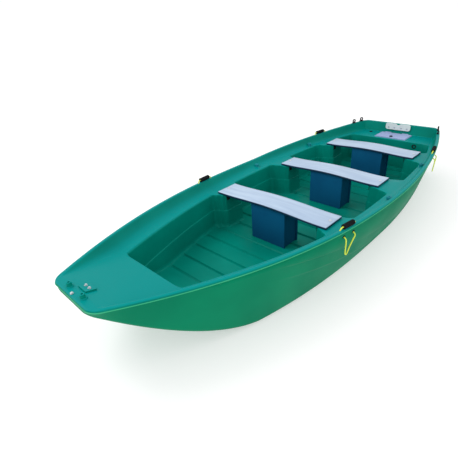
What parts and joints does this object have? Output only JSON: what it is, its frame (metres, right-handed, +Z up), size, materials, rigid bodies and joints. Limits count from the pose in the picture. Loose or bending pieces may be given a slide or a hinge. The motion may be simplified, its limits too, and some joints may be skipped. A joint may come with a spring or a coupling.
{
  "type": "fishing boat",
  "caption": "Small flat-bottomed, square-sterned plastic rowing and fishing boat with cross benches, carrying handles, rowlock sockets, a motor pad and a stern hatch.",
  "frame": {"origin": "amidships on the centreline, at the underside of the keel skids", "axes": "+X towards the bow, +Y to port, +Z up"},
  "size_m": [3.9106, 1.428, 0.5358],
  "materials": {
    "hull_outer": "satin moulded plastic, green",
    "hull_inner": "satin moulded plastic, sea green",
    "foam": "matte closed-cell foam",
    "board": "satin, faintly grained pale blue",
    "box_navy": "satin navy panel",
    "steel": "bright zinc-plated",
    "black_plastic": "matte black",
    "grip_rubber": "soft ribbed black",
    "rope": "braided yellow-green rope",
    "socket_teal": "satin teal",
    "pad_white": "satin off-white plastic",
    "hatch_grey": "satin lavender grey"
  },
  "bodies": {
    "root": {"hull_shell": "hull_outer", "cockpit_liner": "hull_inner", "floor_foam": "foam", "side_foam_port": "foam", "side_foam_starboard": "foam", "bow_foam": "foam", "keel_skids": "hull_outer", "bench_board_fore": "board", "bench_board_middle": "board", "bench_board_aft": "board", "bench_bolts_fore": "steel", "bench_bolts_middle": "steel", "bench_bolts_aft": "steel", "bench_brackets_fore": "black_plastic", "bench_brackets_middle": "black_plastic", "bench_brackets_aft": "black_plastic", "pedestal_front_fore": "box_navy", "pedestal_front_middle": "box_navy", "pedestal_front_aft": "box_navy", "pedestal_rear_fore": "box_navy", "pedestal_rear_middle": "box_navy", "pedestal_rear_aft": "box_navy", "pedestal_sides_fore": "box_navy", "pedestal_sides_middle": "box_navy", "pedestal_sides_aft": "box_navy", "pedestal_rails_fore": "box_navy", "pedestal_rails_middle": "box_navy", "pedestal_rails_aft": "box_navy", "pedestal_screws_fore": "steel", "pedestal_screws_middle": "steel", "pedestal_screws_aft": "steel", "rowlock_socket_port_fore": "socket_teal", "rowlock_socket_port_aft": "socket_teal", "rowlock_socket_starboard_fore": "socket_teal", "rowlock_socket_starboard_aft": "socket_teal", "handle_rope_port_fore": "rope", "handle_rope_port_aft": "rope", "handle_rope_starboard_fore": "rope", "handle_rope_starboard_aft": "rope", "rope_bushes": "black_plastic", "quarter_eyes_port": "black_plastic", "quarter_eyes_starboard": "black_plastic", "motor_pad_inner": "pad_white", "motor_pad_outer": "pad_white", "motor_pad_bolts": "steel", "hatch_frame": "hatch_grey", "hatch_pin": "steel", "deck_plug": "black_plastic", "bulkhead_cap": "black_plastic", "drain_flange": "black_plastic", "bow_bollards": "hull_outer", "bow_plate": "hull_outer", "bow_bolts": "steel"},
    "grip_port_fore": {"handle_grip_port_fore": "grip_rubber"},
    "grip_port_aft": {"handle_grip_port_aft": "grip_rubber"},
    "grip_starboard_fore": {"handle_grip_starboard_fore": "grip_rubber"},
    "grip_starboard_aft": {"handle_grip_starboard_aft": "grip_rubber"},
    "lid": {"hatch_lid": "hatch_grey"},
    "latch": {"hatch_latch": "black_plastic"},
    "plug": {"drain_plug": "black_plastic"}
  },
  "joints": [
    {"name": "grip_port_fore_turn", "type": "hinge", "parent": "root", "child": "grip_port_fore", "pos_m": [0.45392, 0.66453, 0.45855], "axis": [0.9931, -0.1116, 0.0369], "continuous": true},
    {"name": "grip_port_aft_turn", "type": "hinge", "parent": "root", "child": "grip_port_aft", "pos_m": [-1.23936, 0.59544, 0.46086], "axis": [0.9788, 0.2032, -0.0269], "continuous": true},
    {"name": "grip_starboard_fore_turn", "type": "hinge", "parent": "root", "child": "grip_starboard_fore", "pos_m": [0.45392, -0.66453, 0.45855], "axis": [0.9931, 0.1116, 0.0369], "continuous": true},
    {"name": "grip_starboard_aft_turn", "type": "hinge", "parent": "root", "child": "grip_starboard_aft", "pos_m": [-1.23936, -0.59544, 0.46086], "axis": [0.9788, -0.2032, -0.0269], "continuous": true},
    {"name": "hatch_hinge", "type": "hinge", "parent": "root", "child": "lid", "pos_m": [-1.892, 0, 0.3673], "axis": [0, -1, 0], "range_deg": [0, 75]},
    {"name": "latch_turn", "type": "hinge", "parent": "lid", "child": "latch", "pos_m": [-1.739, 0, 0.3623], "axis": [0, 0, -1], "range_deg": [0, 90]},
    {"name": "drain_plug_pull", "type": "slide", "parent": "root", "child": "plug", "axis": [-0.9881, 0, -0.1537], "range_m": [0, 0.03]}
  ]
}
